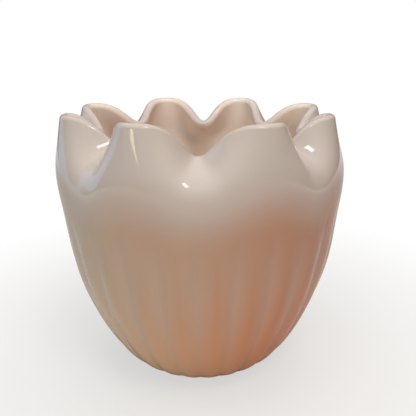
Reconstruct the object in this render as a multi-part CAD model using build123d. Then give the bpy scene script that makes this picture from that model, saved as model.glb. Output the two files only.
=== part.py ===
from build123d import *
import os
from bisect import bisect_right
from math import acos, cos, pi, radians, sin, sqrt, tau

# Crimped rose bowl of cased glass: an opal lining fused inside a pink ribbed casing.
# Millimetres. The origin is the centre of the foot, +Z is up, and azimuth 0 looks along -Y
# and grows towards +X.

# Body, from the foot up to the shoulder, where the rim starts to roll in
foot_radius = 26.0
shoulder_radius = 61.0
shoulder_height = 81.0
foot_flare = radians(52)        # how far the wall leans out at the foot, from upright
shoulder_flare = radians(7)     # and how far it still does at the shoulder
profile_height_shares = (0, 0.024, 0.077, 0.192, 0.385, 0.654, 1)
profile_spread_shares = (0, 0.066, 0.243, 0.471, 0.698, 0.900, 1)

# Crimped rim: the crest of the lip at a notch and at the tip of a lobe
notch_height = 107.5
notch_radius = 44.0
notch_lean = radians(68)        # the glass rolls in steeply under each notch
lobe_height = 118.0
lobe_radius = 56.5
lobe_lean = radians(11)         # and stands nearly upright in each lobe
lobe_breadth_share = 0.24       # above 0 the lobes are broad and the notches are narrow

# Reach of the curve that joins the shoulder to the lip
shoulder_pull = 17.0
lobe_pull = 16.5
notch_pull = 12.3

# The crimps were pressed by hand, so each of the eight differs a little. The first notch
# faces azimuth 0. Turns are shares of one lobe's pitch, heights and radii of those above.
notch_turn_shares = (-0.035, 0.010, -0.007, -0.004, -0.053, -0.022, 0.010, -0.010)
notch_height_shares = (0.992, 0.999, 1.009, 0.997, 0.987, 1.005, 1.017, 1.006)
notch_radius_shares = (1.020, 1.016, 0.991, 0.996, 1.000, 1.000, 0.991, 0.986)
lobe_turn_shares = (0.050, -0.011, -0.007, -0.022, -0.067, -0.022, 0.000, -0.038)
lobe_height_shares = (1.008, 0.996, 0.990, 0.989, 0.992, 0.997, 1.005, 1.012)
lobe_radius_shares = (1.006, 0.979, 1.006, 0.996, 0.989, 1.012, 1.004, 0.996)

# Glass
wall = 3.9                      # both layers together
casing_wall = 1.5
floor_height = 6.5              # inside floor above the foot's face
floor_flat_radius = 7.0
floor_join_share = 0.42         # how far along the body's curve the floor's dish runs into the wall

# Ribs, pressed into the casing before it was blown out, so they fade above the body
rib_count = 26
rib_depth_share = 0.035         # of the rib's own pitch
first_valley = radians(82.2)    # azimuth of one of the valleys between them
rib_drift = radians(1.4)        # the gather was a little off the mould's axis
rib_drift_azimuth = radians(-75)
rib_fade_start = 52.0
rib_fade_end = 90.0

# Rows of the surface
points_per_rib = 8
body_rows = 12
inner_rows = 8
rim_rows = 9
lip_rows = 4
body_row_spacing = 1.3          # above 1 the rows are closer together at the foot

lobe_pitch = tau / len(lobe_turn_shares)
lip_radius = wall / 2


def crimp_turns():
    """Azimuth, height, radius and kind of each notch and lobe, in order round the rim."""
    turns = []
    notches = zip(notch_turn_shares, notch_height_shares, notch_radius_shares)
    lobes = zip(lobe_turn_shares, lobe_height_shares, lobe_radius_shares)
    for index, (notch, lobe) in enumerate(zip(notches, lobes)):
        turns.append((lobe_pitch * (index + notch[0]),
                      notch_height * notch[1], notch_radius * notch[2], "notch"))
        turns.append((lobe_pitch * (index + lobe[0] + 0.5),
                      lobe_height * lobe[1], lobe_radius * lobe[2], "lobe"))
    first = turns[0]
    turns.append((first[0] + tau, *first[1:]))
    return turns


turns = crimp_turns()
turn_azimuths = [turn[0] for turn in turns]


def crest(azimuth):
    """Height and radius of the lip's crest, and how much of a lobe (0 to 1) is there."""
    azimuth = (azimuth - turn_azimuths[0]) % tau + turn_azimuths[0]
    index = min(bisect_right(turn_azimuths, azimuth), len(turns) - 1)
    before, after = turns[index - 1], turns[index]
    notch, lobe = (before, after) if before[3] == "notch" else (after, before)
    phase = pi * (azimuth - notch[0]) / (lobe[0] - notch[0])
    swing = (1 - cos(phase)) / 2
    breadth = lobe_breadth_share * (1 - cos(2 * phase)) / 2
    height = notch[1] + (lobe[1] - notch[1]) * (swing + breadth)
    radius = notch[2] + (lobe[2] - notch[2]) * swing
    return height, radius, swing


def spin(radius, azimuth, height):
    return Vector(radius * sin(azimuth), -radius * cos(azimuth), height)


def lean(azimuth, angle):
    """Unit vector up the wall where it leans by this angle, outwards if positive."""
    return spin(sin(angle), azimuth, cos(angle))


def rib_azimuth(rib):
    """Azimuth of a rib's valley, or of a place between two where rib isn't whole."""
    azimuth = first_valley + tau * rib / rib_count
    return azimuth - rib_drift * (1 - cos(azimuth - rib_drift_azimuth))


columns = [rib_azimuth(index / points_per_rib) for index in range(rib_count * points_per_rib)]


def outward(points, rises):
    """Unit normals of a row, from its neighbours along the row and its rises up the wall."""
    count = len(points)
    return [(points[(index + 1) % count] - points[index - 1]).cross(rises[index]).normalized()
            for index in range(count)]


class Row:
    """One row of the outer surface before it is ribbed, with the normals there."""

    def __init__(self, points, normals):
        self.points = points
        self.normals = normals

    def inset(self, depth):
        return [point - normal * depth for point, normal in zip(self.points, self.normals)]

    def ribbed(self):
        return [point - Vector(normal.X, normal.Y, 0).normalized() * rib_cut(index, point)
                for index, (point, normal) in enumerate(zip(self.points, self.normals))]


def rib_cut(index, point):
    """Depth below the crown of the rib, which is round across and fades up the wall."""
    across = index % points_per_rib / points_per_rib
    rise = min(max((point.Z - rib_fade_start) / (rib_fade_end - rib_fade_start), 0), 1)
    fade = (1 + cos(pi * rise)) / 2
    pitch = tau * sqrt(point.X**2 + point.Y**2) / rib_count
    return rib_depth_share * pitch * fade * (1 - 4 * across * (1 - across))


# Body rows, turned from one curve
body_spread = shoulder_radius - foot_radius
body_curve = Edge.make_spline(
    [(foot_radius + body_spread * spread, 0, shoulder_height * height)
     for spread, height in zip(profile_spread_shares, profile_height_shares)],
    tangents=[(sin(foot_flare), 0, cos(foot_flare)), (sin(shoulder_flare), 0, cos(shoulder_flare))],
)


def body_row(share):
    place, rise = body_curve @ share, body_curve % share
    return Row([spin(place.X, azimuth, place.Z) for azimuth in columns],
               [spin(rise.Z, azimuth, -rise.X) for azimuth in columns])


# Rim rows, from the shoulder up to the lip
crests = [crest(azimuth) for azimuth in columns]
lip_rises = [lean(azimuth, -(lobe_lean * swing + notch_lean * (1 - swing)))
             for azimuth, (_, _, swing) in zip(columns, crests)]
lip_centres = [spin(radius, azimuth, height - lip_radius)
               for azimuth, (height, radius, _) in zip(columns, crests)]
lip_normals = outward(lip_centres, lip_rises)


def rim_row(share):
    points, rises = [], []
    for azimuth, (_, _, swing), rise, centre, normal in zip(columns, crests, lip_rises,
                                                            lip_centres, lip_normals):
        start = spin(shoulder_radius, azimuth, shoulder_height)
        end = centre + normal * lip_radius
        leave = start + lean(azimuth, shoulder_flare) * shoulder_pull
        arrive = end - rise * (notch_pull + (lobe_pull - notch_pull) * swing)
        rest = 1 - share
        points.append(start * rest**3 + leave * (3 * rest**2 * share)
                      + arrive * (3 * rest * share**2) + end * share**3)
        rises.append((leave - start) * rest**2 + (arrive - leave) * (2 * rest * share)
                     + (end - arrive) * share**2)
    return Row(points, lip_normals if share == 1 else outward(points, rises))


def lip_row(angle):
    """The rounded lip: angle 0 is its outer edge and half a turn its inner edge."""
    return [centre + (normal * cos(angle) + rise * sin(angle)) * lip_radius
            for centre, normal, rise in zip(lip_centres, lip_normals, lip_rises)]


outer_rows = [body_row((index / body_rows)**body_row_spacing) for index in range(body_rows)]
outer_rows += [rim_row(index / rim_rows) for index in range(rim_rows + 1)]

# The two layers meet on the lip, where the face between them runs out through it
meet_angle = acos((lip_radius - casing_wall) / lip_radius)
casing_lip = [lip_row(meet_angle * index / lip_rows) for index in range(1, lip_rows + 1)]
lining_lip = [lip_row(pi - (pi - meet_angle) * index / lip_rows) for index in range(1, lip_rows + 1)]

# Inside floor, a shallow dish that runs up into the wall
join_rise = body_curve % floor_join_share
join_place = body_curve @ floor_join_share - Vector(join_rise.Z, 0, -join_rise.X) * wall
floor_curve = Edge.make_spline([(floor_flat_radius, 0, floor_height), join_place],
                               tangents=[(1, 0, 0), join_rise])


def floor_ring(share):
    place = floor_curve @ share
    return [spin(place.X, azimuth, place.Z) for azimuth in columns]


wall_rows = [body_row(floor_join_share + (1 - floor_join_share) * index / inner_rows)
             for index in range(inner_rows)]
wall_rows += [rim_row(index / rim_rows) for index in range(rim_rows + 1)]

outside = [row.ribbed() for row in outer_rows] + casing_lip
between = [row.inset(casing_wall) for row in outer_rows] + [casing_lip[-1]]
inside = [floor_ring(index / inner_rows) for index in range(inner_rows)]
inside += [row.inset(wall) for row in wall_rows] + lining_lip


def ring_wire(points):
    """A closed ring of one spline for each rib, which run on from each other with the same tangents."""
    count = len(points)
    shares = [step / points_per_rib for step in range(points_per_rib + 1)]
    edges = []
    for first in range(0, count, points_per_rib):
        last = first + points_per_rib
        span = [points[step % count] for step in range(first, last + 1)]
        tangents = [points[(end + 1) % count] - points[end - 1] for end in (first, last)]
        edges.append(Edge.make_spline(span, tangents=tangents, parameters=shares))
    return Wire(edges)


def skin(rings):
    """Surface through a stack of rings, in one face for each rib."""
    return Shell.make_loft([ring_wire(ring) for ring in rings]).faces()


def layer(lower, upper, lower_ring, upper_ring):
    """Solid glass between two skins that meet on the lip, closed by a flat face at each foot."""
    flats = [Face(ring_wire(lower_ring)), Face(ring_wire(upper_ring))]
    return Solid(Shell([*lower, *upper, *flats]))


outside_skin = skin(outside)
between_skin = skin(between)
inside_skin = skin(inside)

parts = {
    "pink_casing": layer(outside_skin, between_skin, outside[0], between[0]),
    "opal_lining": layer(between_skin, inside_skin, between[0], inside[0]),
}

os.makedirs("parts", exist_ok=True)
for name, solid in parts.items():
    solid.label = name
    export_step(solid, f"parts/{name}.step")
    print(name, "volume", round(solid.volume), "valid", solid.is_valid)
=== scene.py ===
from math import cos, pi, radians, sin, tau

import bpy
import numpy as np
from mathutils import Matrix, Vector


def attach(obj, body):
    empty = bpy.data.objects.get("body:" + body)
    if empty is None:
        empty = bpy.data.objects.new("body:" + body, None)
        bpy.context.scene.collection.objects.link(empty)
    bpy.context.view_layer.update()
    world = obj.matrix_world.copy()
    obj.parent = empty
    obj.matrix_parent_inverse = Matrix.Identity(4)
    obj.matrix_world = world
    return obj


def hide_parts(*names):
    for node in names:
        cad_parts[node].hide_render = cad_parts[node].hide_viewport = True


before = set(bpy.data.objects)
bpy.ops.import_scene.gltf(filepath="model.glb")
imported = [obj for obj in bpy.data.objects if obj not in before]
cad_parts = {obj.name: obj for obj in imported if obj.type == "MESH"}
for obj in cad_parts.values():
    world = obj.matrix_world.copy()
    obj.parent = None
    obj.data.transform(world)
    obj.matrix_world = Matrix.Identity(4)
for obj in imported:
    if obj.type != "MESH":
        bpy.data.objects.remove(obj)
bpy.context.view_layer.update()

bl_info = {
    "name": "Crimped rose bowl",
    "version": (1, 0, 0),
    "blender": (4, 5, 0),
    "location": "3D View > Sidebar > Rose bowl",
    "description": "A rose bowl of two fused glass layers, with a ribbed body and a crimped rim",
    "category": "Add Mesh",
}

# Metres, in the frame of the CAD part: the foot stands on the origin, +Z is up, and the azimuth
# called turn here is 0 towards -Y and grows towards +X.

# Profile of the body, as shares of its height and of its spread from foot to shoulder
PROFILE_HEIGHT_SHARES = (0, 0.024, 0.077, 0.192, 0.385, 0.654, 1)
PROFILE_SPREAD_SHARES = (0, 0.066, 0.243, 0.471, 0.698, 0.900, 1)
FOOT_FLARE = radians(52)
SHOULDER_FLARE = radians(7)

# The crimps were pressed by hand, so each differs a little
NOTCH_TURN_SHARES = (-0.035, 0.010, -0.007, -0.004, -0.053, -0.022, 0.010, -0.010)
NOTCH_HEIGHT_SHARES = (0.992, 0.999, 1.009, 0.997, 0.987, 1.005, 1.017, 1.006)
NOTCH_RADIUS_SHARES = (1.020, 1.016, 0.991, 0.996, 1.000, 1.000, 0.991, 0.986)
LOBE_TURN_SHARES = (0.050, -0.011, -0.007, -0.022, -0.067, -0.022, 0.000, -0.038)
LOBE_HEIGHT_SHARES = (1.008, 0.996, 0.990, 0.989, 0.992, 0.997, 1.005, 1.012)
LOBE_RADIUS_SHARES = (1.006, 0.979, 1.006, 0.996, 0.989, 1.012, 1.004, 0.996)

# Reach of the rim's curve, and how full its lobes are
SHOULDER_PULL = 0.017
NOTCH_FULLNESS = 0.0205
LOBE_PULL = 0.0165
NOTCH_PULL = 0.0123
LOBE_BREADTH_SHARE = 0.24
NOTCH_ROUNDING_SHARE = 0.048

# Ribs, which fade up the wall, and which the gather took a little off the mould's axis
FIRST_VALLEY = radians(82.2)
RIB_DRIFT = radians(1.4)
RIB_DRIFT_TURN = radians(-75)
RIB_SOFTNESS = 0.08
RIB_FADE_START = 0.052
RIB_FADE_END = 0.090

# Inside floor, hollow of the foot, and the waver of blown glass
FLOOR_FLAT = 0.007
FLOOR_JOIN_SHARE = 0.42
FLOOR_FLAT_PULL = 0.459
FLOOR_JOIN_PULL = 0.351
FOOT_HOLLOW = 0.0006
HOLLOW_RIM_SHARE = 0.98
HOLLOW_FULL_SHARE = 0.78
WOBBLE = 0.0005
WOBBLE_SEED = 0.37
WOBBLE_SCALE = 28.0
WOBBLE_DETAIL = 1.0
WOBBLE_ONSET = 60.0             # how fast it sets in above the foot, for each metre

# Skin of the glass: clouds in it, and on it slow waves, draw lines and small seeds
GLASS_ROUGHNESS = 0.06
GLASS_IOR = 1.45
GLASS_WAVINESS = 0.5
CLOUD_SCALE = 26.0
CLOUD_DETAIL = 3.0
CLOUD_ROUGHNESS = 0.5
DRAW_SCALE = 160.0
DRAW_DETAIL = 2.0
DRAW_STRETCH = (1, 1, 0.08)
DRAW_HEIGHT = 0.00001
DRAW_ROUGHNESS = 0.04
WAVE_SCALE = 55.0
WAVE_DETAIL = 1.0
WAVE_HEIGHT = 0.00022
SEED_SCALE = 95.0
SEED_SIZE = 0.0009
SEED_SPAN = 0.0101
SEED_LEAST = 0.00035
SEED_DEPTH = 0.00002
SEED_ROUGHNESS = 0.1

# Tones of the glass: painted warm light deepens the pink towards orange on one side, and painted
# warm bounce lights it up near the foot. The pink is thin below the rim and in the valleys, painted
# light from above takes its pale further down under a notch, and the lining is painted lighter than
# the opal for light through the wall, and is deeper low in the bowl
# Turn of the side where painted warm light deepens the pink towards orange
WARM_LIGHT_SIDE_TURN = radians(70)
SIDE_TONE_REACH = 0.028
# Heights over which painted warm bounce lights up the pink near the foot
FOOT_BOUNCE_TOP = 0.070
FOOT_BOUNCE_FULL = 0.024
PALE_START = 0.072
PALE_END = 0.099
# How much further down painted light from above takes the pale under a notch
NOTCH_LIGHT_SWAY = 0.0065
PALE_CLOUD = 0.008
PALE_VALLEY = 0.33
VALLEY_TONE_START = 0.045
CLOUD_DEPTH = 0.35
CLOUD_TINT = (1.0, 0.92, 0.87)
# Heights over which the lining goes from deeper low down to painted lighter high up, for light through
# the wall
LINING_LIGHT_START = 0.03
LINING_LIGHT_END = 0.105

# Stage
FLOOR_REACH = 3.0
FLOOR_SIDES = 64
FLOOR_WHITE = 0.60
FLOOR_FADE_START = 0.07
FLOOR_FADE_END = 0.22
MIRROR_FADE_START = 0.30
MIRROR_FADE_END = 0.80
PANEL_REACH = 1.0
PANEL_HEIGHT = 1.4
PANEL_FADE_START = 0.3
AIM_HEIGHT = 0.07

# Lamps: the setting of its power, turn and lift in degrees, distance, width, height, tint, and
# whether the glass mirrors it. The large ones only light it, and don't show as a rectangle.
LAMPS = {
    "top_lamp": ("top_power", 0, 84, 0.9, 0.6, 0.6, (1, 0.97, 0.94), False),
    "front_lamp": ("front_power", -24, 14, 0.9, 0.5, 0.5, (0.86, 0.98, 1), False),
    "side_lamp": ("side_power", 28, 46, 0.9, 0.4, 0.4, (1, 0.84, 0.66), False),
    "back_lamp": ("back_power", 170, 28, 0.9, 0.8, 0.8, (1, 0.97, 0.94), False),
    "window": ("window_power", -112, 13, 0.85, 0.42, 0.5, (0.36, 0.62, 1), True),
    "bulb": ("bulb_power", 18, 57, 0.85, 0.24, 0.12, (1, 1, 1), True),
    "warm_lamp": ("warm_power", -38, 15, 0.85, 0.16, 0.07, (1, 0.86, 0.42), True),
}

# Camera, fitted to the bowl's outline
CAMERA_PLACE = (0.0, -0.21444, 0.14388)
CAMERA_YAW = radians(0.815)
CAMERA_PITCH = radians(18.393)
CAMERA_ROLL = radians(0.514)
CAMERA_LENS = 42.628
CAMERA_SENSOR = 36.0
CAMERA_NEAR = 0.01

# How finely the glass is modelled
COLUMNS = 576
BODY_ROWS = 54
RIM_ROWS = 34
LIP_ROWS = 14
HIDDEN_ROWS = 14
DISC_ROWS = 6
CURVE_STEPS = 48
SHARP_EDGE = radians(40)
AT_LIP_LEVEL = 1.9999
WELD_DISTANCE = 1e-6

GEOMETRY = "NodeSocketGeometry"
FLOAT = "NodeSocketFloat"
INTEGER = "NodeSocketInt"
VECTOR = "NodeSocketVector"
MATERIAL = "NodeSocketMaterial"
OBJECT = "NodeSocketObject"


def length(name, description, default):
    """A length that a user may change."""
    return bpy.props.FloatProperty(name=name, description=description, default=default,
                                   min=0.0001, soft_max=0.5, precision=4, unit="LENGTH")


def colour(name, description, default):
    """A linear colour that a user may change."""
    return bpy.props.FloatVectorProperty(name=name, description=description, default=default,
                                         min=0, max=1, size=3, subtype="COLOR")


def power(name, description, default):
    """The power of a lamp."""
    return bpy.props.FloatProperty(name=name, description=description, default=default,
                                   min=0, unit="POWER")


class RoseBowlSizes(bpy.types.PropertyGroup):
    """Sizes of the bowl"""

    foot_radius: length("Foot radius", "Radius of the flat foot", 0.026)
    shoulder_radius: length("Shoulder radius", "Widest radius, where the rim starts to roll in", 0.061)
    shoulder_height: length("Shoulder height", "Height of the shoulder above the foot", 0.081)
    notch_height: length("Notch height", "Height of the lip at a notch", 0.1075)
    notch_radius: length("Notch radius", "Radius of the lip at a notch", 0.044)
    lobe_height: length("Lobe height", "Height of the lip at the tip of a lobe", 0.118)
    lobe_radius: length("Lobe radius", "Radius of the lip at the tip of a lobe", 0.0565)
    wall: length("Wall", "Thickness of both glass layers together", 0.0039)
    casing_wall: length("Casing wall", "Thickness of the outer layer", 0.0015)
    floor_height: length("Floor height", "Height of the inside floor above the foot", 0.0065)
    notch_lean: bpy.props.FloatProperty(
        name="Notch lean", description="How far the lip leans in at a notch",
        default=radians(68), subtype="ANGLE")
    lobe_lean: bpy.props.FloatProperty(
        name="Lobe lean", description="How far the lip leans in at the tip of a lobe",
        default=radians(11), subtype="ANGLE")
    rib_count: bpy.props.IntProperty(
        name="Ribs", description="Ribs round the body", default=26, min=3, max=80)
    rib_depth: bpy.props.FloatProperty(
        name="Rib depth", description="Depth of the valleys, as a share of the ribs' own pitch",
        default=0.08, min=0, max=0.2, subtype="FACTOR")


class RoseBowlColours(bpy.types.PropertyGroup):
    """Colours of the glass"""

    rim: colour("Rim", "Pale opal glass of the rolled rim", (0.425, 0.375, 0.35))
    # Body pinks: the cool side, and the side that painted warm light deepens towards orange
    pink_cool_lit_side: colour("Thin pink", "Body on the side where the pink gather ran thin",
                      (0.435, 0.37, 0.29))
    pink_warm_lit_side: colour("Deep pink", "Body on the side where the pink gather ran thick",
                      (0.405, 0.185, 0.105))
    # Near the foot, painted warm bounce lights up both sides
    foot_bounce_cool_side: colour("Thin pink at the foot", "The same side near the foot", (0.62, 0.50, 0.335))
    foot_bounce_warm_side: colour("Deep pink at the foot", "The thick side near the foot", (0.55, 0.155, 0.04))
    # The lining is painted lighter than the opal, for light shining through the wall; the floor colour
    # is deeper
    lining: colour("Lining", "Opal lining inside the bowl", (0.85, 0.76, 0.69))
    lining_floor: colour("Lining floor", "Opal lining deep inside the bowl", (0.60, 0.47, 0.385))


class RoseBowlStage(bpy.types.PropertyGroup):
    """Floor and light"""

    floor: colour("Floor", "Plain pale floor", (0.50, 0.49, 0.48))
    panels: colour("Panels", "Plain cloth panels round the stage", (0.30, 0.25, 0.22))
    sky: bpy.props.FloatProperty(
        name="Surroundings", description="Strength of the plain light from all round",
        default=0.24, min=0, max=1)
    top_power: power("Top lamp", "Power of the soft lamp overhead", 6.6)
    front_power: power("Front lamp", "Power of the soft lamp at the front left", 2.3)
    side_power: power("Side lamp", "Power of the soft lamp high on the right", 2.3)
    back_power: power("Back lamp", "Power of the soft lamp behind the bowl", 2.4)
    window_power: power("Window", "Power of the cool upright lamp on the left", 0.9)
    bulb_power: power("Bulb", "Power of the small bright lamp above", 1.5)
    warm_power: power("Warm lamp", "Power of the small warm lamp at the front left", 0.3)


class Term:
    """A value or a vector in a node tree, which adds and multiplies like a number."""

    def __init__(self, socket):
        self.socket = socket
        self.tree = socket.id_data

    def __add__(self, other):
        return calc("ADD", self, other)

    def __radd__(self, other):
        return calc("ADD", other, self)

    def __sub__(self, other):
        return calc("SUBTRACT", self, other)

    def __rsub__(self, other):
        return calc("SUBTRACT", other, self)

    def __mul__(self, other):
        return calc("MULTIPLY", self, other)

    def __rmul__(self, other):
        return calc("MULTIPLY", self, other)

    def __truediv__(self, other):
        return calc("DIVIDE", self, other)

    def __rtruediv__(self, other):
        return calc("DIVIDE", other, self)


def is_vector(value):
    return isinstance(value, Vector) or (
        isinstance(value, Term) and value.socket.type in ("VECTOR", "RGBA"))


def put(socket, value):
    """Links a socket to a term, or sets it to a plain value."""
    if isinstance(value, Term):
        socket.id_data.links.new(value.socket, socket)
    else:
        socket.default_value = value


def calc(operation, *values):
    """The result of a sum on terms and plain numbers, as a vector where one of them is."""
    tree = next(value.tree for value in values if isinstance(value, Term))
    vector = any(map(is_vector, values))
    made = tree.nodes.new("ShaderNodeVectorMath" if vector else "ShaderNodeMath")
    if vector and operation == "MULTIPLY" and not all(map(is_vector, values)):
        operation = "SCALE"
        values = sorted(values, key=is_vector, reverse=True)
    made.operation = operation
    sockets = (made.inputs[0], made.inputs["Scale"]) if operation == "SCALE" else made.inputs
    for socket, value in zip(sockets, values):
        put(socket, value)
    single = not vector or operation in ("LENGTH", "DOT_PRODUCT")
    return Term(made.outputs["Value" if single else "Vector"])


def node(tree, kind, given=None, **settings):
    """A new node with its settings made and its inputs put, by name or by place."""
    made = tree.nodes.new(kind)
    for name, value in settings.items():
        setattr(made, name, value)
    for name, value in (given or {}).items():
        put(made.inputs[name], value)
    return made


def out(made, name=0):
    return Term(made.outputs[name])


def new_tree(name, kind, inputs, outputs):
    """A node group with named sockets, and its inputs as terms."""
    tree = bpy.data.node_groups.new(name, kind)
    for in_out, sockets in (("INPUT", inputs), ("OUTPUT", outputs)):
        for label, socket_type in sockets.items():
            tree.interface.new_socket(label, in_out=in_out, socket_type=socket_type)
    entry = tree.nodes.new("NodeGroupInput")
    return tree, {socket.name: Term(socket) for socket in entry.outputs if socket.name}


def close_tree(tree, results):
    """Links the results to the group's outputs and sets the nodes out by their depth."""
    leave = tree.nodes.new("NodeGroupOutput")
    for name, value in results.items():
        put(leave.inputs[name], value)
    arrange(tree)
    return tree


def arrange(tree):
    """Sets the nodes out in columns, each to the right of what feeds it."""
    depth = {made.name: 0 for made in tree.nodes}
    for _ in range(len(tree.nodes)):
        moved = False
        for link in tree.links:
            if depth[link.to_node.name] <= depth[link.from_node.name]:
                depth[link.to_node.name] = depth[link.from_node.name] + 1
                moved = True
        if not moved:
            break
    rows = {}
    for made in tree.nodes:
        column = depth[made.name]
        row = rows.get(column, 0)
        made.location = (200 * column, -180 * row)
        rows[column] = row + 1


def use(tree, group, given):
    """The results of a node group placed in another tree, by name."""
    made = node(tree, "GeometryNodeGroup", node_tree=group)
    for name, value in given.items():
        if name in made.inputs:
            put(made.inputs[name], value)
    return {socket.name: Term(socket) for socket in made.outputs}


def mix(start, end, share):
    return start + (end - start) * share


def spin(tree, radius, turn, height):
    """The place at this radius, turn and height, as a vector."""
    made = node(tree, "ShaderNodeCombineXYZ",
                {0: radius * calc("SINE", turn), 1: radius * calc("COSINE", turn) * -1.0, 2: height})
    return out(made)


def bezier(start, leave, arrive, end, share):
    """The place at this share of a Bezier curve, and which way the curve runs there."""
    rest = 1.0 - share
    place = (start * (rest * rest * rest) + leave * (rest * rest * share * 3.0)
             + arrive * (rest * share * share * 3.0) + end * (share * share * share))
    run = ((leave - start) * (rest * rest) + (arrive - leave) * (rest * share * 2.0)
           + (end - arrive) * (share * share))
    return place, run


def split(tree, vector):
    parts = node(tree, "ShaderNodeSeparateXYZ", {0: vector})
    return out(parts, 0), out(parts, 1), out(parts, 2)


def index_of(tree):
    return out(node(tree, "GeometryNodeInputIndex"))


def named(tree, name, data_type):
    made = node(tree, "GeometryNodeInputNamedAttribute", {"Name": name}, data_type=data_type)
    return out(made, "Attribute")


def switch(tree, test, if_not, if_so):
    """One vector or the other."""
    return out(node(tree, "GeometryNodeSwitch", {"Switch": test, "False": if_not, "True": if_so},
                    input_type="VECTOR"))


def sample(tree, geometry, value, index, data_type):
    """The value at one point of a geometry."""
    made = node(tree, "GeometryNodeSampleIndex", {"Geometry": geometry, "Index": index},
                data_type=data_type, domain="POINT", clamp=True)
    put(made.inputs["Value"], value)
    return out(made, "Value")


def store(tree, geometry, name, value, data_type):
    made = node(tree, "GeometryNodeStoreNamedAttribute", {"Geometry": geometry, "Name": name},
                data_type=data_type, domain="POINT")
    put(made.inputs["Value"], value)
    return out(made, "Geometry")


def eased(tree, value, low, high):
    """How far a value is from low to high, from 0 to 1, with soft ends."""
    return out(node(tree, "ShaderNodeMapRange", {0: value, 1: low, 2: high},
                    interpolation_type="SMOOTHSTEP"))


def wrapped(index, count):
    return calc("FLOORED_MODULO", index, count)


def lip_ring_tree():
    """The centre line of the lip as a ring of points that know their turn, swing, rise and outward.
    The swing is 0 at a notch and 1 at the tip of a lobe."""
    tree, given = new_tree("Lip ring", "GeometryNodeTree", {
        "Crimps": GEOMETRY, "Columns": INTEGER, "Lip radius": FLOAT, "Lobe breadth": FLOAT,
        "Notch rounding": FLOAT, "Notch lean": FLOAT, "Lobe lean": FLOAT}, {"Ring": GEOMETRY})
    crimps = given["Crimps"]
    index = index_of(tree)
    place = index * (2.0 * len(NOTCH_TURN_SHARES)) / given["Columns"]
    crimp = calc("FLOOR", place)
    share = place - crimp

    def between(name, weight):
        value = named(tree, name, "FLOAT")
        return mix(sample(tree, crimps, value, crimp, "FLOAT"),
                   sample(tree, crimps, value, crimp + 1.0, "FLOAT"), weight)

    is_lobe = sample(tree, crimps, named(tree, "lobe", "FLOAT"), crimp, "FLOAT")
    phase = calc("ABSOLUTE", is_lobe - share) * pi
    swing = (1.0 - calc("COSINE", phase)) * 0.5
    breadth = (1.0 - calc("COSINE", phase * 2.0)) * 0.5 * given["Lobe breadth"]
    in_notch = calc("LESS_THAN", phase, pi / 2)
    rounding = (1.0 - calc("COSINE", phase * 4.0)) * 0.5 * given["Notch rounding"] * in_notch
    turn = between("turn", share)
    height = between("height", calc("ABSOLUTE", is_lobe - (swing + breadth - rounding)))
    radius = between("radius", calc("ABSOLUTE", is_lobe - swing))
    lean = mix(given["Notch lean"], given["Lobe lean"], swing) * -1.0
    rise = spin(tree, calc("SINE", lean), turn, calc("COSINE", lean))
    centre = spin(tree, radius, turn, height - given["Lip radius"])
    ring = out(node(tree, "GeometryNodePoints", {"Count": given["Columns"], "Position": centre}))
    for name, value, data_type in (("turn", turn, "FLOAT"), ("swing", swing, "FLOAT"),
                                   ("rise", rise, "FLOAT_VECTOR")):
        ring = store(tree, ring, name, value, data_type)
    position = out(node(tree, "GeometryNodeInputPosition"))
    ahead = sample(tree, ring, position, wrapped(index + 1.0, given["Columns"]), "FLOAT_VECTOR")
    behind = sample(tree, ring, position, wrapped(index - 1.0, given["Columns"]), "FLOAT_VECTOR")
    up = named(tree, "rise", "FLOAT_VECTOR")
    outward = calc("NORMALIZE", calc("CROSS_PRODUCT", ahead - behind, up))
    ring = store(tree, ring, "outward", outward, "FLOAT_VECTOR")
    return close_tree(tree, {"Ring": ring})


def floats(*names):
    return dict.fromkeys(names, FLOAT)


RULE = {"Ring": GEOMETRY, "Profile": GEOMETRY, "Column": FLOAT, "Columns": INTEGER,
        **floats("Level", "Shoulder radius", "Shoulder height", "Lip radius", "Shoulder pull",
                 "Notch fullness", "Notch pull", "Lobe pull")}


def ring_values(tree, given, column):
    """What the lip ring knows at a column."""
    at = wrapped(column, given["Columns"])
    values = {name: sample(tree, given["Ring"], named(tree, name, data_type), at, data_type)
              for name, data_type in (("turn", "FLOAT"), ("swing", "FLOAT"),
                                      ("rise", "FLOAT_VECTOR"), ("outward", "FLOAT_VECTOR"))}
    position = out(node(tree, "GeometryNodeInputPosition"))
    values["centre"] = sample(tree, given["Ring"], position, at, "FLOAT_VECTOR")
    return values


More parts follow.
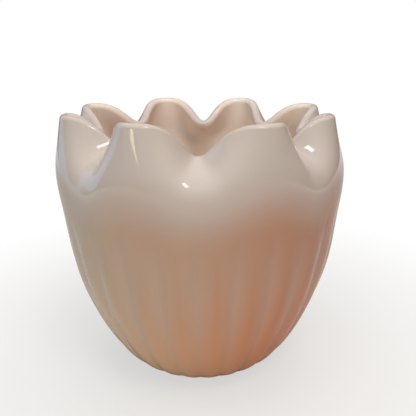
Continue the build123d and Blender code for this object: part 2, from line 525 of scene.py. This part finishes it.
def smooth_wall_tree():
    """The outer face of the wall before it is ribbed. Level 0 to 1 is the body, turned from the
    profile, and 1 to 2 is the rim, one Bezier curve from the shoulder to the lip."""
    tree, given = new_tree("Smooth wall", "GeometryNodeTree", RULE,
                           {"Position": VECTOR, "Rise": VECTOR, "Lip outward": VECTOR, "Swing": FLOAT})
    here = ring_values(tree, given, given["Column"])
    profile = node(tree, "GeometryNodeSampleCurve",
                   {"Curves": given["Profile"], "Factor": calc("MINIMUM", given["Level"], 1.0)},
                   mode="FACTOR", use_all_curves=True)
    place_radius, _, place_height = split(tree, out(profile, "Position"))
    run_radius, _, run_height = split(tree, out(profile, "Tangent"))
    body_place = spin(tree, place_radius, here["turn"], place_height)
    body_rise = spin(tree, run_radius, here["turn"], run_height)
    shoulder = spin(tree, given["Shoulder radius"], here["turn"], given["Shoulder height"])
    shoulder_rise = spin(tree, sin(SHOULDER_FLARE), here["turn"], cos(SHOULDER_FLARE))
    end = here["centre"] + here["outward"] * given["Lip radius"]
    shoulder_pull = mix(given["Notch fullness"], given["Shoulder pull"], here["swing"])
    leave = shoulder + shoulder_rise * shoulder_pull
    arrive = end - here["rise"] * mix(given["Notch pull"], given["Lobe pull"], here["swing"])
    rim_share = calc("MAXIMUM", given["Level"] - 1.0, 0.0)
    rim_place, rim_rise = bezier(shoulder, leave, arrive, end, rim_share)
    in_rim = calc("GREATER_THAN", given["Level"], 1.0)
    return close_tree(tree, {
        "Position": switch(tree, in_rim, body_place, rim_place),
        "Rise": switch(tree, in_rim, body_rise, rim_rise),
        "Lip outward": here["outward"], "Swing": here["swing"]})


def glass_wall_tree(smooth_wall):
    """A place inside the wall, at a depth below its outer face, and the outward direction there."""
    tree, given = new_tree("Glass wall", "GeometryNodeTree", {**RULE, "Depth": FLOAT},
                           {"Position": VECTOR, "Outward": VECTOR, "Rise": VECTOR, "Swing": FLOAT})
    here, ahead, behind = (use(tree, smooth_wall, {**given, "Column": given["Column"] + step})
                           for step in (0.0, 1.0, -1.0))
    across = ahead["Position"] - behind["Position"]
    outward = calc("NORMALIZE", calc("CROSS_PRODUCT", across, here["Rise"]))
    at_lip = calc("GREATER_THAN", given["Level"], AT_LIP_LEVEL)
    outward = switch(tree, at_lip, outward, here["Lip outward"])
    return close_tree(tree, {"Position": here["Position"] - outward * given["Depth"],
                             "Outward": outward, "Rise": here["Rise"], "Swing": here["Swing"]})


def ribs_tree():
    """How far the ribs' mould pressed the glass in: round across each rib, and fading up the wall."""
    tree, given = new_tree("Pressed ribs", "GeometryNodeTree", {
        "Position": VECTOR, "Outward": VECTOR,
        **floats("Ribs", "Rib depth", "First valley", "Drift", "Drift turn", "Softness",
                 "Fade start", "Fade end")}, {"Offset": VECTOR, "Pressed": FLOAT})
    x, y, z = split(tree, given["Position"])
    turn = calc("ARCTAN2", x, y * -1.0)
    drift = given["Drift"] * (1.0 - calc("COSINE", turn - given["Drift turn"]))
    place = (turn + drift - given["First valley"]) * given["Ribs"] / tau
    across = place - calc("FLOOR", place)
    from_valley = 1.0 - calc("ABSOLUTE", 1.0 - across * 2.0)
    from_valley = calc("SQRT", from_valley * from_valley + given["Softness"] * given["Softness"])
    climbed = (z - given["Fade start"]) / (given["Fade end"] - given["Fade start"])
    share = calc("MINIMUM", calc("MAXIMUM", climbed, 0.0), 1.0)
    fade = (1.0 + calc("COSINE", share * pi)) * 0.5
    pitch = calc("SQRT", x * x + y * y) * tau / given["Ribs"]
    pressed = fade * (1.0 - from_valley)
    cut = given["Rib depth"] * pitch * pressed * (1.0 - from_valley)
    out_x, out_y, _ = split(tree, given["Outward"])
    level = out(node(tree, "ShaderNodeCombineXYZ", {0: out_x, 1: out_y}))
    return close_tree(tree, {"Offset": calc("NORMALIZE", level) * (cut * -1.0), "Pressed": pressed})


LAYER = {"Crimps": GEOMETRY, "Profile": OBJECT, "Glass": MATERIAL, "Columns": INTEGER,
         **floats("Wall", "Casing wall", "Shoulder radius", "Shoulder height", "Floor height",
                  "Floor flat", "Floor join", "Lobe breadth", "Notch rounding", "Notch lean",
                  "Lobe lean", "Shoulder pull", "Notch fullness", "Notch pull", "Lobe pull", "Ribs",
                  "Rib depth", "First valley", "Drift", "Drift turn", "Softness", "Fade start",
                  "Fade end", "Hollow", "Wobble", "Wobble seed")}


class LayerMaker:
    """Builds the tree of one closed layer of glass out of sections of the bowl's rule."""

    def __init__(self, name, trees):
        self.tree, self.given = new_tree(name, "GeometryNodeTree", LAYER, {"Layer": GEOMETRY})
        self.trees = trees
        self.given["Lip radius"] = self.given["Wall"] * 0.5
        ring = use(self.tree, trees["ring"], self.given)["Ring"]
        info = node(self.tree, "GeometryNodeObjectInfo", {"Object": self.given["Profile"]})
        self.rule = {**self.given, "Ring": ring, "Profile": out(info, "Geometry")}
        self.sections = []

    def section(self, rows, place):
        """A strip round the bowl, whose points are placed by their column and share of the way up.
        It keeps how far each point is from a notch to a lobe, how far the mould pressed it in,
        and on the lip, how near the outside it is."""
        lines = float(rows + 1)
        grid = node(self.tree, "GeometryNodeMeshGrid",
                    {"Vertices X": self.given["Columns"] + 1.0, "Vertices Y": rows + 1})
        index = index_of(self.tree)
        column = calc("FLOOR", (index + 0.5) / lines)
        share = (index - column * lines) / float(rows)
        found = place(column, share)
        if isinstance(found, Term):
            found = {"Position": found}
        strip = out(node(self.tree, "GeometryNodeSetPosition",
                         {"Geometry": out(grid), "Position": found["Position"]}))
        for mark in ("Swing", "Pressed", "Lip"):
            if mark in found:
                strip = store(self.tree, strip, mark.lower(), found[mark], "FLOAT")
        self.sections.append(strip)

    def wall(self, column, level, depth):
        return use(self.tree, self.trees["wall"],
                   {**self.rule, "Column": column, "Level": level, "Depth": depth})

    def wall_section(self, rows, first, last, depth, ribbed=False):
        """A strip at a depth in the wall, from one level to another."""
        def place(column, share):
            found = self.wall(column, mix(first, last, share), depth)
            if not ribbed:
                return found
            ribs = use(self.tree, self.trees["ribs"], {**self.given, **found})
            return {**found, "Position": found["Position"] + ribs["Offset"], "Pressed": ribs["Pressed"]}
        self.section(rows, place)

    def lip(self, column, angle):
        """A place on the round lip, where angle 0 faces outwards and pi inwards."""
        here = ring_values(self.tree, self.rule, column)
        arm = here["outward"] * calc("COSINE", angle) + here["rise"] * calc("SINE", angle)
        return here["centre"] + arm * self.given["Lip radius"]

    def lip_section(self, rows, first, last):
        """A strip of the round lip, from one angle to another."""
        self.section(rows, lambda column, share: {"Position": self.lip(column, mix(first, last, share)),
                                                  "Lip": 1.0 - share})

    def seam_section(self, angle, depth, outwards=False):
        """The end of the face between the layers, which runs out through the lip at this angle."""
        def place(column, share):
            ends = (self.lip(column, angle), self.wall(column, 2.0, depth)["Position"])
            return mix(*(reversed(ends) if outwards else ends), share)
        self.section(2, place)

    def disc_section(self, rows, depth, ribbed=False, inwards=False, hollow=None):
        """The flat below the body, from its middle out to the foot, or the other way."""
        def place(column, share):
            found = self.wall(column, 0.0, depth)
            edge = found["Position"]
            if ribbed:
                edge = edge + use(self.tree, self.trees["ribs"], {**self.given, **found})["Offset"]
            reach = 1.0 - share if inwards else share
            x, y, z = split(self.tree, edge)
            if hollow:
                z = z + eased(self.tree, reach, HOLLOW_RIM_SHARE, HOLLOW_FULL_SHARE) * hollow
            return out(node(self.tree, "ShaderNodeCombineXYZ", {0: x * reach, 1: y * reach, 2: z}))
        self.section(rows, place)

    def floor_section(self, rows, disc_rows):
        """The dished floor inside, from the wall to its flat middle."""
        def flat_edge(column):
            turn = ring_values(self.tree, self.rule, column)["turn"]
            return (spin(self.tree, self.given["Floor flat"], turn, self.given["Floor height"]),
                    spin(self.tree, 1.0, turn, 0.0))

        def dish(column, share):
            inner, level = flat_edge(column)
            outer = self.wall(column, self.given["Floor join"], self.given["Wall"])
            span = calc("LENGTH", outer["Position"] - inner)
            leave = outer["Position"] - calc("NORMALIZE", outer["Rise"]) * (span * FLOOR_JOIN_PULL)
            arrive = inner + level * (span * FLOOR_FLAT_PULL)
            return bezier(outer["Position"], leave, arrive, inner, share)[0]

        def middle(column, share):
            x, y, z = split(self.tree, flat_edge(column)[0])
            rest = 1.0 - share
            return out(node(self.tree, "ShaderNodeCombineXYZ", {0: x * rest, 1: y * rest, 2: z}))
        self.section(rows, dish)
        self.section(disc_rows, middle)

    def close(self):
        """Joins the sections into one closed skin, wavers it as blown glass does, and dresses it."""
        joined = node(self.tree, "GeometryNodeJoinGeometry")
        for section in self.sections:
            put(joined.inputs["Geometry"], section)
        merged = out(node(self.tree, "GeometryNodeMergeByDistance",
                          {"Geometry": out(joined), "Distance": WELD_DISTANCE}))
        position = out(node(self.tree, "GeometryNodeInputPosition"))
        noise = node(self.tree, "ShaderNodeTexNoise",
                     {"Vector": position, "W": self.given["Wobble seed"], "Scale": WOBBLE_SCALE,
                      "Detail": WOBBLE_DETAIL}, noise_dimensions="4D")
        height = split(self.tree, position)[2]
        off_floor = calc("MINIMUM", height * WOBBLE_ONSET, 1.0)
        waver = (out(noise, "Color") - Vector((0.5, 0.5, 0.5))) * (self.given["Wobble"] * off_floor)
        wavered = out(node(self.tree, "GeometryNodeSetPosition", {"Geometry": merged, "Offset": waver}))
        smooth = out(node(self.tree, "GeometryNodeSetShadeSmooth", {"Geometry": wavered}))
        real = out(node(self.tree, "GeometryNodeRealizeInstances", {"Geometry": smooth}))
        dressed = out(node(self.tree, "GeometryNodeSetMaterial",
                           {"Geometry": real, "Material": self.given["Glass"]}))
        return close_tree(self.tree, {"Layer": dressed})


def meet_angle(given):
    """The angle round the lip at which the two layers meet."""
    lip = given["Lip radius"]
    return calc("ARCCOSINE", (lip - given["Casing wall"]) / lip)


def casing_tree(trees):
    """The outer layer: its disc, ribbed body, rolled rim and outer lip, and back down between."""
    layer = LayerMaker("Pink casing layer", trees)
    depth = layer.given["Casing wall"]
    layer.disc_section(DISC_ROWS * 2, 0.0, ribbed=True, hollow=layer.given["Hollow"])
    layer.wall_section(BODY_ROWS, 0.0, 1.0, 0.0, ribbed=True)
    layer.wall_section(RIM_ROWS, 1.0, 2.0, 0.0, ribbed=True)
    layer.lip_section(LIP_ROWS, 0.0, meet_angle(layer.given))
    layer.seam_section(meet_angle(layer.given), depth)
    layer.wall_section(HIDDEN_ROWS, 2.0, 1.0, depth)
    layer.wall_section(HIDDEN_ROWS, 1.0, 0.0, depth)
    layer.disc_section(1, depth, inwards=True)
    return layer.close()


def lining_tree(trees):
    """The inner layer: up between the layers, over the inner lip, and down to the dished floor."""
    layer = LayerMaker("Opal lining layer", trees)
    depth = layer.given["Casing wall"]
    layer.disc_section(1, depth)
    layer.wall_section(HIDDEN_ROWS, 0.0, 1.0, depth)
    layer.wall_section(HIDDEN_ROWS, 1.0, 2.0, depth)
    layer.seam_section(meet_angle(layer.given), depth, outwards=True)
    layer.lip_section(LIP_ROWS, meet_angle(layer.given), pi)
    layer.wall_section(RIM_ROWS, 2.0, 1.0, layer.given["Wall"])
    layer.wall_section(BODY_ROWS // 2, 1.0, layer.given["Floor join"], layer.given["Wall"])
    layer.floor_section(BODY_ROWS // 3, DISC_ROWS)
    return layer.close()


def set_inputs(modifier, tree, values):
    """Sets a modifier's inputs by the sockets' own identifiers."""
    for item in tree.interface.items_tree:
        if item.in_out == "INPUT" and item.name in values:
            modifier[item.identifier] = values[item.name]


def smooth_runs(points, first, last):
    """How a curve that bends smoothly through the points runs at each of them, and their spacing."""
    steps = [(after - before).length for before, after in zip(points, points[1:])]
    size = len(points)
    rows = np.zeros((size, size))
    sums = np.zeros((size, 3))
    rows[0, 0] = rows[-1, -1] = 1
    sums[0], sums[-1] = first, last
    for index in range(1, size - 1):
        before, after = steps[index - 1], steps[index]
        rows[index, index - 1:index + 2] = after, 2 * (before + after), before
        sums[index] = 3 * (after / before * (points[index] - points[index - 1])
                           + before / after * (points[index + 1] - points[index]))
    return [Vector(run) for run in np.linalg.solve(rows, sums)], steps


def placed(name, data):
    """A new object in the scene."""
    made = bpy.data.objects.new(name, data)
    bpy.context.scene.collection.objects.link(made)
    return made


def profile_object(sizes):
    """The body's profile from foot to shoulder, as a curve in the XZ plane."""
    spread = sizes.shoulder_radius - sizes.foot_radius
    points = [Vector((sizes.foot_radius + spread * out_share, 0, sizes.shoulder_height * up_share))
              for out_share, up_share in zip(PROFILE_SPREAD_SHARES, PROFILE_HEIGHT_SHARES)]
    runs, steps = smooth_runs(points, Vector((sin(FOOT_FLARE), 0, cos(FOOT_FLARE))),
                              Vector((sin(SHOULDER_FLARE), 0, cos(SHOULDER_FLARE))))
    curve = bpy.data.curves.new("profile", "CURVE")
    curve.dimensions = "3D"
    curve.resolution_u = CURVE_STEPS
    spline = curve.splines.new("BEZIER")
    spline.bezier_points.add(len(points) - 1)
    for knot, point, run, before, after in zip(spline.bezier_points, points, runs,
                                               [steps[0], *steps], [*steps, steps[-1]]):
        knot.co = point
        knot.handle_left_type = knot.handle_right_type = "FREE"
        knot.handle_left = point - run * before / 3
        knot.handle_right = point + run * after / 3
    return placed("profile", curve)


def crimps_object(sizes):
    """One point for each notch and lobe in order round the rim, and the first once more."""
    rows = []
    notches = zip(NOTCH_TURN_SHARES, NOTCH_HEIGHT_SHARES, NOTCH_RADIUS_SHARES)
    lobes = zip(LOBE_TURN_SHARES, LOBE_HEIGHT_SHARES, LOBE_RADIUS_SHARES)
    pitch = tau / len(NOTCH_TURN_SHARES)
    for index, (notch, lobe) in enumerate(zip(notches, lobes)):
        rows.append((pitch * (index + notch[0]), sizes.notch_height * notch[1],
                     sizes.notch_radius * notch[2], 0))
        rows.append((pitch * (index + lobe[0] + 0.5), sizes.lobe_height * lobe[1],
                     sizes.lobe_radius * lobe[2], 1))
    rows.append((rows[0][0] + tau, *rows[0][1:]))
    mesh = bpy.data.meshes.new("crimps")
    mesh.from_pydata([(radius * sin(turn), -radius * cos(turn), height)
                      for turn, height, radius, _ in rows], [], [])
    for name, values in zip(("turn", "height", "radius", "lobe"), zip(*rows)):
        mesh.attributes.new(name, "FLOAT", "POINT").data.foreach_set("value", values)
    return placed("crimps", mesh)


def rule_trees():
    """The groups that both layers are built from."""
    found = {"ring": "Lip ring", "smooth": "Smooth wall", "wall": "Glass wall", "ribs": "Pressed ribs"}
    if all(name in bpy.data.node_groups for name in found.values()):
        return {key: bpy.data.node_groups[name] for key, name in found.items()}
    trees = {"ring": lip_ring_tree(), "smooth": smooth_wall_tree()}
    trees["wall"] = glass_wall_tree(trees["smooth"])
    trees["ribs"] = ribs_tree()
    return trees


def blow_layer(name, node_name, make_tree, glass):
    """Makes one layer of glass as a plain mesh that stands for its CAD node."""
    sizes = bpy.context.scene.rose_bowl_sizes
    tree = make_tree(rule_trees())
    crimps, profile = crimps_object(sizes), profile_object(sizes)
    modifier = crimps.modifiers.new(name, "NODES")
    modifier.node_group = tree
    set_inputs(modifier, tree, {
        "Profile": profile, "Glass": glass, "Columns": COLUMNS, "Wall": sizes.wall,
        "Casing wall": sizes.casing_wall, "Shoulder radius": sizes.shoulder_radius,
        "Shoulder height": sizes.shoulder_height, "Floor height": sizes.floor_height,
        "Floor flat": FLOOR_FLAT, "Floor join": FLOOR_JOIN_SHARE, "Lobe breadth": LOBE_BREADTH_SHARE,
        "Notch rounding": NOTCH_ROUNDING_SHARE, "Notch lean": sizes.notch_lean,
        "Lobe lean": sizes.lobe_lean, "Shoulder pull": SHOULDER_PULL,
        "Notch fullness": NOTCH_FULLNESS, "Notch pull": NOTCH_PULL, "Lobe pull": LOBE_PULL,
        "Ribs": float(sizes.rib_count),
        "Rib depth": sizes.rib_depth, "First valley": FIRST_VALLEY, "Drift": RIB_DRIFT,
        "Drift turn": RIB_DRIFT_TURN, "Softness": RIB_SOFTNESS, "Fade start": RIB_FADE_START,
        "Fade end": RIB_FADE_END, "Hollow": FOOT_HOLLOW, "Wobble": WOBBLE, "Wobble seed": WOBBLE_SEED})
    crimps.update_tag()
    depsgraph = bpy.context.evaluated_depsgraph_get()
    mesh = bpy.data.meshes.new_from_object(crimps.evaluated_get(depsgraph), depsgraph=depsgraph)
    mesh.name = name
    mesh.materials.clear()
    mesh.materials.append(glass)
    mesh.polygons.foreach_set("material_index", [0] * len(mesh.polygons))
    mesh.set_sharp_from_angle(angle=SHARP_EDGE)
    layer = placed(name, mesh)
    for helper in (crimps, profile):
        bpy.data.objects.remove(helper)
    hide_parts(node_name)
    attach(layer, "root")


def mix_colours(tree, share, first, second, blend="MIX"):
    """Two colours mixed by a share."""
    made = node(tree, "ShaderNodeMix", data_type="RGBA", blend_type=blend)
    for place, value in ((0, share), (6, first), (7, second)):
        put(made.inputs[place], (*value, 1) if isinstance(value, tuple) else value)
    return out(made, 2)


def opal_haze_group():
    """Slow clouds in opal glass, with the fine draw lines and seeds that blowing leaves on its skin."""
    name = "Opal haze"
    if name in bpy.data.node_groups:
        return bpy.data.node_groups[name]
    tree, given = new_tree(name, "ShaderNodeTree", {
        "Cloud scale": FLOAT, "Waviness": FLOAT, "Roughness": FLOAT},
        {"Cloud": FLOAT, "Roughness": FLOAT, "Normal": VECTOR})
    place = out(node(tree, "ShaderNodeTexCoord"), "Object")
    stretched = out(node(tree, "ShaderNodeMapping", {"Vector": place, "Scale": Vector(DRAW_STRETCH)}))

    def noise(where, scale, detail, **more):
        return out(node(tree, "ShaderNodeTexNoise",
                        {"Vector": where, "Scale": scale, "Detail": detail, **more}))

    cloud = noise(place, given["Cloud scale"], CLOUD_DETAIL, Roughness=CLOUD_ROUGHNESS)
    drawn = noise(stretched, DRAW_SCALE, DRAW_DETAIL)
    wave = noise(place, WAVE_SCALE, WAVE_DETAIL)
    seeds = node(tree, "ShaderNodeTexVoronoi", {"Vector": place, "Scale": SEED_SCALE})
    size = out(node(tree, "ShaderNodeTexWhiteNoise", {"Vector": out(seeds, "Position")}), "Value")
    margin = size * SEED_SIZE - out(seeds, "Distance") * SEED_SPAN - SEED_LEAST
    seed = calc("GREATER_THAN", margin, 0.0)
    height = wave * WAVE_HEIGHT + drawn * DRAW_HEIGHT - seed * SEED_DEPTH
    bump = node(tree, "ShaderNodeBump",
                {"Height": height, "Distance": 1.0, "Strength": given["Waviness"]})
    rough = given["Roughness"] + (drawn - 0.5) * DRAW_ROUGHNESS + seed * SEED_ROUGHNESS
    return close_tree(tree, {"Cloud": cloud, "Roughness": rough, "Normal": out(bump)})


def cleared(owner):
    """The empty node tree of a new material or world."""
    owner.use_nodes = True
    owner.node_tree.nodes.clear()
    return owner.node_tree


def show(tree, shader, kind="ShaderNodeOutputMaterial"):
    """Makes a shader the one that shows, and sets the nodes out."""
    put(tree.nodes.new(kind).inputs["Surface"], out(shader))
    arrange(tree)


def glass_material(name):
    """A glossy opal glass, and what its colour may be built from."""
    made = bpy.data.materials.new(name)
    tree = cleared(made)
    haze = node(tree, "ShaderNodeGroup", node_tree=opal_haze_group())
    for label, value in (("Cloud scale", CLOUD_SCALE), ("Waviness", GLASS_WAVINESS),
                         ("Roughness", GLASS_ROUGHNESS)):
        put(haze.inputs[label], value)
    place = out(node(tree, "ShaderNodeTexCoord"), "Object")
    shader = node(tree, "ShaderNodeBsdfPrincipled", {
        "Roughness": out(haze, "Roughness"), "Normal": out(haze, "Normal"), "IOR": GLASS_IOR})
    return made, tree, out(haze, "Cloud"), place, shader


def finish_glass(tree, cloud, shader, colour):
    """Clouds the colour of the glass and shows it."""
    cloudy = mix_colours(tree, cloud * CLOUD_DEPTH, colour, CLOUD_TINT, "MULTIPLY")
    put(shader.inputs["Base Color"], cloudy)
    show(tree, shader)


def attribute(tree, name):
    """A value that the mesh keeps at its points."""
    return out(node(tree, "ShaderNodeAttribute", attribute_name=name), "Fac")


def casing_glass():
    """Pink glass over opal, with painted warm light that deepens the pink on one side and evens out
    across the foot's face, and painted warm bounce that lights it up near the foot. It thins out below
    the rim and where the mould pressed the valleys in, and painted light from above takes the pale
    further down under a notch than under a lobe."""
    colours = bpy.context.scene.rose_bowl_colours
    made, tree, cloud, place, shader = glass_material("pink casing glass")
    x, y, height = split(tree, place)
    across = out(node(tree, "ShaderNodeCombineXYZ", {0: x, 1: y}))
    reach = calc("MAXIMUM", calc("LENGTH", across), SIDE_TONE_REACH)
    # the side that the painted warm light falls on, and how much of it each place gets
    warm_lit_side = Vector((sin(WARM_LIGHT_SIDE_TURN), -cos(WARM_LIGHT_SIDE_TURN), 0))
    side = (1.0 + calc("DOT_PRODUCT", across, warm_lit_side) / reach) * 0.5
    belly = mix_colours(tree, side, tuple(colours.pink_cool_lit_side), tuple(colours.pink_warm_lit_side))
    # painted warm bounce near the foot, on both sides
    foot = mix_colours(tree, side, tuple(colours.foot_bounce_cool_side), tuple(colours.foot_bounce_warm_side))
    body = mix_colours(tree, eased(tree, height, FOOT_BOUNCE_TOP, FOOT_BOUNCE_FULL), belly, foot)
    # painted light from above takes the pale further down under a notch
    notch_lit_height = height - attribute(tree, "swing") * NOTCH_LIGHT_SWAY
    pale = eased(tree, notch_lit_height + (cloud - 0.5) * PALE_CLOUD, PALE_START, PALE_END)
    off_foot = eased(tree, height, 0.0, VALLEY_TONE_START)
    in_valley = attribute(tree, "pressed") * off_foot * PALE_VALLEY
    thin_and_lit = calc("MAXIMUM", pale, in_valley)
    finish_glass(tree, cloud, shader, mix_colours(tree, thin_and_lit, body, tuple(colours.rim)))
    return made


def lining_glass():
    """The opal without its pink, painted lighter than the glass is, most high in the bowl, for light
    shining through the wall, and deeper in colour down in the bowl.
    """
    colours = bpy.context.scene.rose_bowl_colours
    made, tree, cloud, place, shader = glass_material("opal lining glass")
    # painted light through the wall, strongest high in the bowl
    high = eased(tree, split(tree, place)[2], LINING_LIGHT_START, LINING_LIGHT_END)
    whole = mix_colours(tree, high, tuple(colours.lining_floor), tuple(colours.lining))
    whole = mix_colours(tree, attribute(tree, "lip"), whole, tuple(colours.rim))
    finish_glass(tree, cloud, shader, whole)
    return made


class ROSEBOWL_OT_casing(bpy.types.Operator):
    """Make the pink casing: the outer layer with its ribs, shoulder, furrows and foot"""

    bl_idname = "rose_bowl.casing"
    bl_label = "Pink casing"
    bl_options = {"REGISTER", "UNDO"}

    def execute(self, context):
        blow_layer("rose_bowl_casing", "pink_casing", casing_tree, casing_glass())
        return {"FINISHED"}


class ROSEBOWL_OT_lining(bpy.types.Operator):
    """Make the opal lining: the inner layer with the inner half of the lip and the inside floor"""

    bl_idname = "rose_bowl.lining"
    bl_label = "Opal lining"
    bl_options = {"REGISTER", "UNDO"}

    def execute(self, context):
        blow_layer("rose_bowl_lining", "opal_lining", lining_tree, lining_glass())
        return {"FINISHED"}


def aimed(place, target):
    """A matrix at a place whose -Z axis looks at the target."""
    turn = (Vector(target) - Vector(place)).to_track_quat("-Z", "Y").to_matrix().to_4x4()
    return Matrix.Translation(place) @ turn


def soft_lamp(name, watts, turn, lift, reach, width, height, tint, mirrored):
    """An area lamp at a turn and a lift above the floor, aimed at the bowl."""
    data = bpy.data.lights.new(name, "AREA")
    data.shape = "RECTANGLE"
    data.size, data.size_y = width, height
    data.energy = watts
    data.color = tint
    lamp = placed(name, data)
    turn, lift = radians(turn), radians(lift)
    target = Vector((0, 0, AIM_HEIGHT))
    away = Vector((sin(turn) * cos(lift), -cos(turn) * cos(lift), sin(lift)))
    lamp.matrix_world = aimed(target + away * reach, target)
    lamp.visible_glossy = mirrored


def stage_lamps(stage):
    """The lamps of a plain studio."""
    for name, (setting, *rest) in LAMPS.items():
        soft_lamp(name, getattr(stage, setting), *rest)


def plain_rays(tree):
    """1 for the camera's rays, and 1 for those that are mirrored or let through."""
    seen = node(tree, "ShaderNodeLightPath")
    by_glass = calc("MAXIMUM", out(seen, "Is Glossy Ray"), out(seen, "Is Transmission Ray"))
    return out(seen, "Is Camera Ray"), by_glass


def stage_ring(reach, height):
    """The corners of a level ring round the bowl."""
    turns = [tau * step / FLOOR_SIDES for step in range(FLOOR_SIDES)]
    return [(reach * cos(turn), reach * sin(turn), height) for turn in turns]


def stage_piece(name, points, faces, material):
    """A plain piece of the stage, in one material."""
    mesh = bpy.data.meshes.new(name)
    mesh.from_pydata(points, [], faces)
    mesh.materials.append(material)
    piece = placed(name, mesh)
    return piece


def stage_floor(stage):
    """A plain pale floor that keeps the bowl's shadow, and turns to the white of the surroundings
    away from it."""
    made = bpy.data.materials.new("pale floor")
    tree = cleared(made)
    reach = calc("LENGTH", out(node(tree, "ShaderNodeTexCoord"), "Object"))
    to_camera, to_glass = plain_rays(tree)
    seen_white = mix(FLOOR_WHITE, 1.0, eased(tree, reach, FLOOR_FADE_START, FLOOR_FADE_END))
    mirrored_white = eased(tree, reach, MIRROR_FADE_START, MIRROR_FADE_END)
    bare = node(tree, "ShaderNodeBsdfDiffuse", {"Color": (*stage.floor, 1)})
    white = node(tree, "ShaderNodeEmission", {"Color": (1, 1, 1, 1), "Strength": 1.0})
    show(tree, node(tree, "ShaderNodeMixShader", {
        0: to_camera * seen_white + to_glass * mirrored_white, 1: out(bare), 2: out(white)}))
    stage_piece("floor", stage_ring(FLOOR_REACH, 0), [tuple(range(FLOOR_SIDES))], made)


def studio_panels(stage):
    """A ring of cloth round the stage that thins out upwards, so its mirror image has no edge. The
    camera doesn't see it."""
    made = bpy.data.materials.new("panel cloth")
    tree = cleared(made)
    height = split(tree, out(node(tree, "ShaderNodeTexCoord"), "Object"))[2]
    bare = node(tree, "ShaderNodeBsdfDiffuse", {"Color": (*stage.panels, 1)})
    open_air = node(tree, "ShaderNodeBsdfTransparent")
    show(tree, node(tree, "ShaderNodeMixShader", {
        0: eased(tree, height, PANEL_FADE_START, PANEL_HEIGHT), 1: out(bare), 2: out(open_air)}))
    points = stage_ring(PANEL_REACH, 0) + stage_ring(PANEL_REACH, PANEL_HEIGHT)
    faces = []
    for step in range(FLOOR_SIDES):
        after = (step + 1) % FLOOR_SIDES
        faces.append((step, step + FLOOR_SIDES, after + FLOOR_SIDES, after))
    stage_piece("panels", points, faces, made).visible_camera = False


def surroundings(stage):
    """Plain light from all round, which the camera sees as white."""
    world = bpy.data.worlds.new("surroundings")
    tree = cleared(world)
    strength = mix(stage.sky, 1.0, calc("MAXIMUM", *plain_rays(tree)))
    show(tree, node(tree, "ShaderNodeBackground", {"Color": (1, 1, 1, 1), "Strength": strength}),
         "ShaderNodeOutputWorld")
    bpy.context.scene.world = world


def photo_camera():
    """The camera at the viewing angle of the photograph."""
    ahead = Vector((sin(CAMERA_YAW), cos(CAMERA_YAW), 0))
    along = ahead * cos(CAMERA_PITCH) - Vector((0, 0, sin(CAMERA_PITCH)))
    level = Vector((cos(CAMERA_YAW), -sin(CAMERA_YAW), 0))
    upright = level.cross(along)
    right = level * cos(CAMERA_ROLL) - upright * sin(CAMERA_ROLL)
    up = level * sin(CAMERA_ROLL) + upright * cos(CAMERA_ROLL)
    data = bpy.data.cameras.new("camera")
    data.lens = CAMERA_LENS
    data.sensor_width = CAMERA_SENSOR
    data.clip_start = CAMERA_NEAR
    camera = placed("camera", data)
    turn = Matrix((right, up, -along)).transposed().to_4x4()
    camera.matrix_world = Matrix.Translation(CAMERA_PLACE) @ turn
    bpy.context.scene.camera = camera


class ROSEBOWL_OT_stage(bpy.types.Operator):
    """Set the floor, the lamps and the camera"""

    bl_idname = "rose_bowl.stage"
    bl_label = "Stage"
    bl_options = {"REGISTER", "UNDO"}

    def execute(self, context):
        stage = context.scene.rose_bowl_stage
        stage_floor(stage)
        studio_panels(stage)
        surroundings(stage)
        photo_camera()
        stage_lamps(stage)
        context.scene.view_settings.view_transform = "Standard"
        return {"FINISHED"}


class ROSEBOWL_PT_panel(bpy.types.Panel):
    """Sizes, colours and makers of the bowl"""

    bl_idname = "ROSEBOWL_PT_panel"
    bl_label = "Rose bowl"
    bl_space_type = "VIEW_3D"
    bl_region_type = "UI"
    bl_category = "Rose bowl"

    def draw(self, context):
        scene = context.scene
        for settings in (scene.rose_bowl_sizes, scene.rose_bowl_colours, scene.rose_bowl_stage):
            box = self.layout.box()
            for name in settings.bl_rna.properties.keys():
                if name not in ("rna_type", "name"):
                    box.prop(settings, name)
        for operator in OPERATORS:
            self.layout.operator(operator.bl_idname)


SETTINGS = {"rose_bowl_sizes": RoseBowlSizes, "rose_bowl_colours": RoseBowlColours,
            "rose_bowl_stage": RoseBowlStage}
OPERATORS = (ROSEBOWL_OT_casing, ROSEBOWL_OT_lining, ROSEBOWL_OT_stage)
CLASSES = (*SETTINGS.values(), *OPERATORS, ROSEBOWL_PT_panel)


def register():
    for made in CLASSES:
        bpy.utils.register_class(made)
    for name, settings in SETTINGS.items():
        setattr(bpy.types.Scene, name, bpy.props.PointerProperty(type=settings))


def unregister():
    for name in SETTINGS:
        delattr(bpy.types.Scene, name)
    for made in reversed(CLASSES):
        bpy.utils.unregister_class(made)


def main():
    register()
    bpy.ops.rose_bowl.stage()
    bpy.ops.rose_bowl.casing()
    bpy.ops.rose_bowl.lining()


if __name__ == "__main__":
    main()
